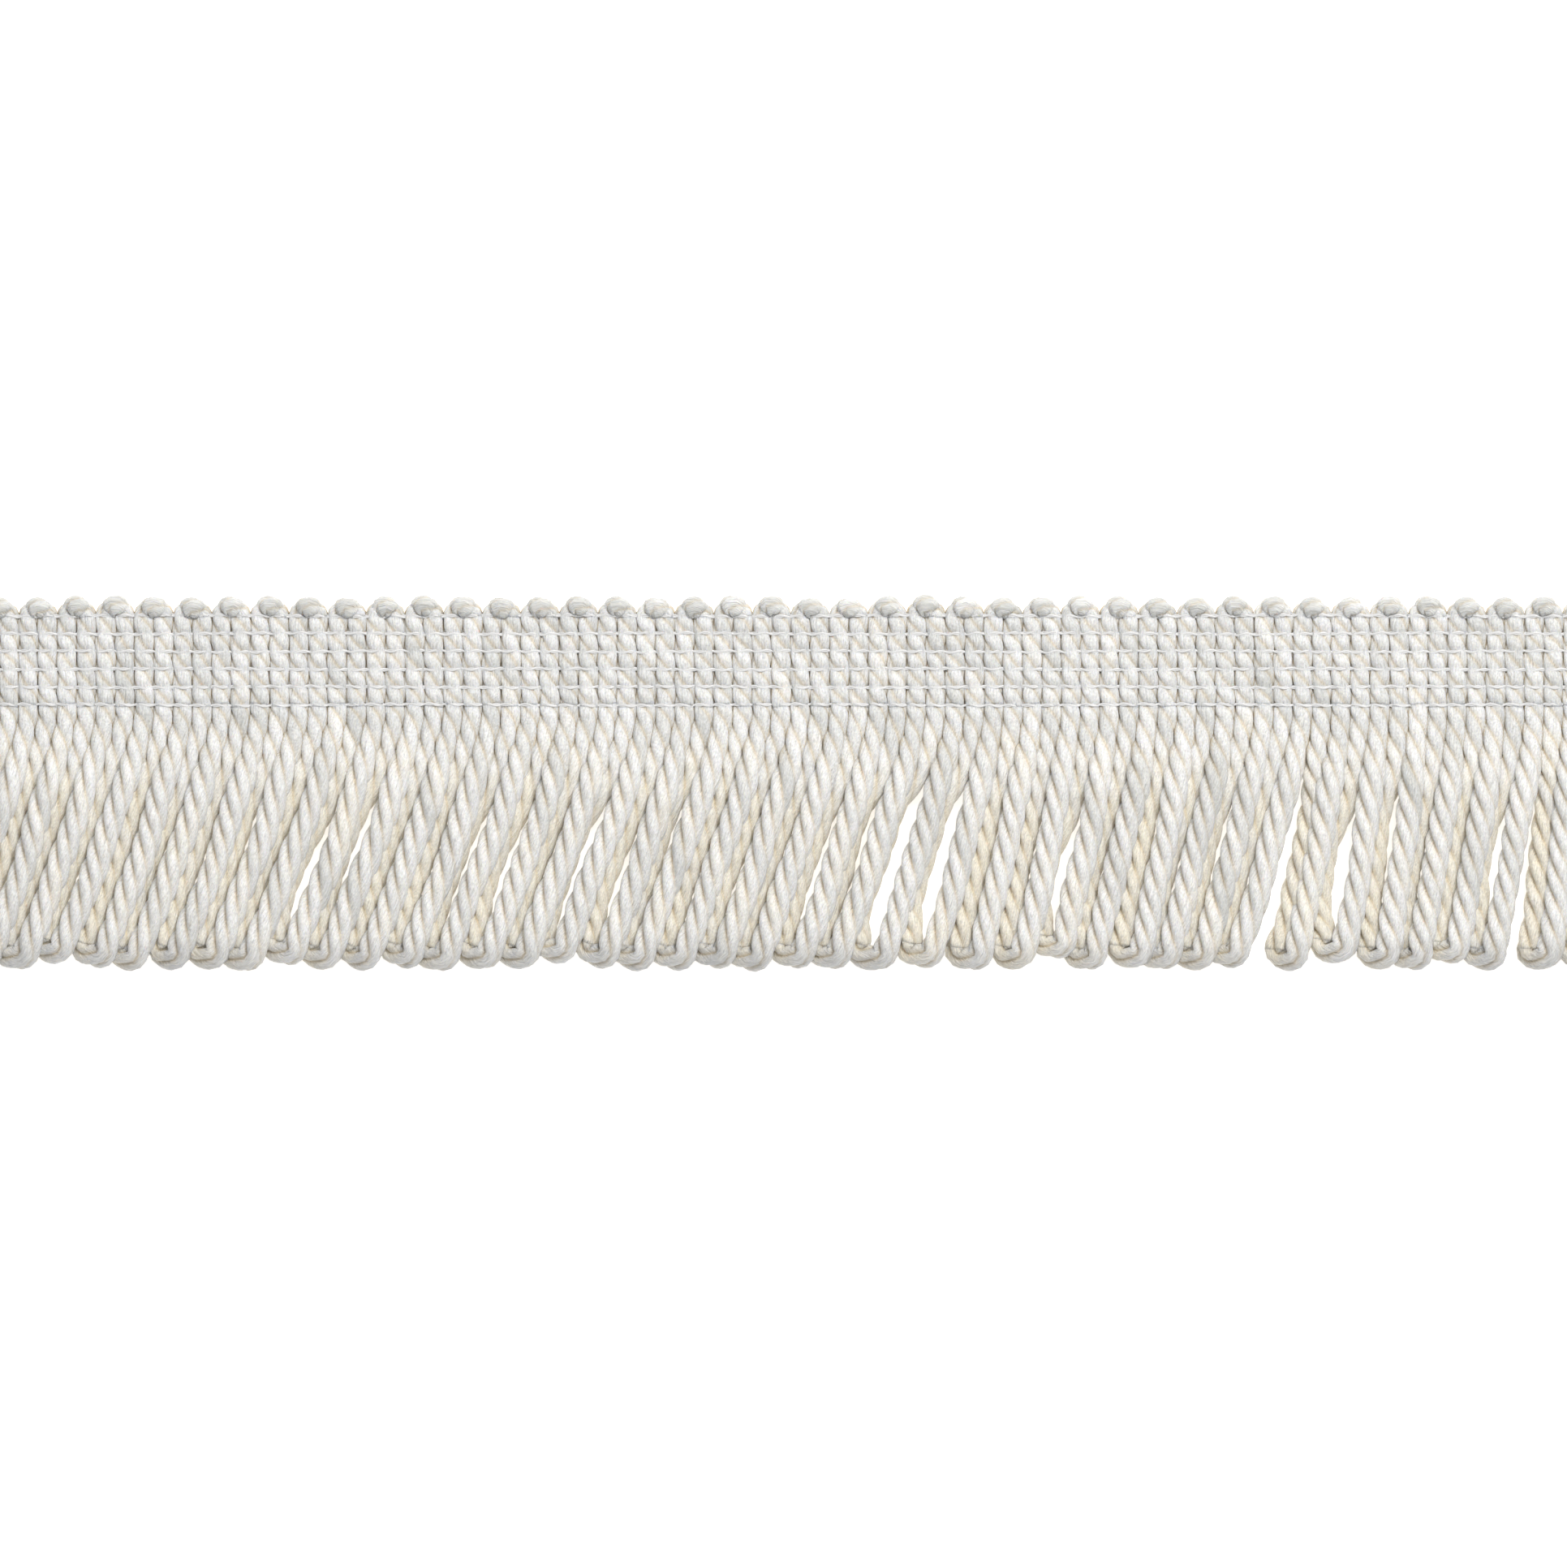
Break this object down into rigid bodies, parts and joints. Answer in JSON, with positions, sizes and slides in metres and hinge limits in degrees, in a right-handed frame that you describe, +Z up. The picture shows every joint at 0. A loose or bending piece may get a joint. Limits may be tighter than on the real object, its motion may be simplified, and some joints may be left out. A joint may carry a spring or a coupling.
{
  "type": "looped cord fringe trim",
  "caption": "Looped fringe trim: a narrow woven heading of upright cord columns with a knobbed edge, and a skirt of leaning twisted cord loops, lying flat.",
  "frame": {"origin": "on the surface, under the middle of the whole trim's box", "axes": "+X along the trim, +Y from the loops up to the knobbed edge, +Z up out of the surface, towards the face"},
  "size_m": [0.1748, 0.038, 0.0046],
  "materials": {
    "cord": "silky ivory white twisted cord",
    "binding_thread": "thin clear whitish thread"
  },
  "bodies": {
    "root": {"heading": "cord", "loop_fringe": "cord"}
  },
  "joints": []
}
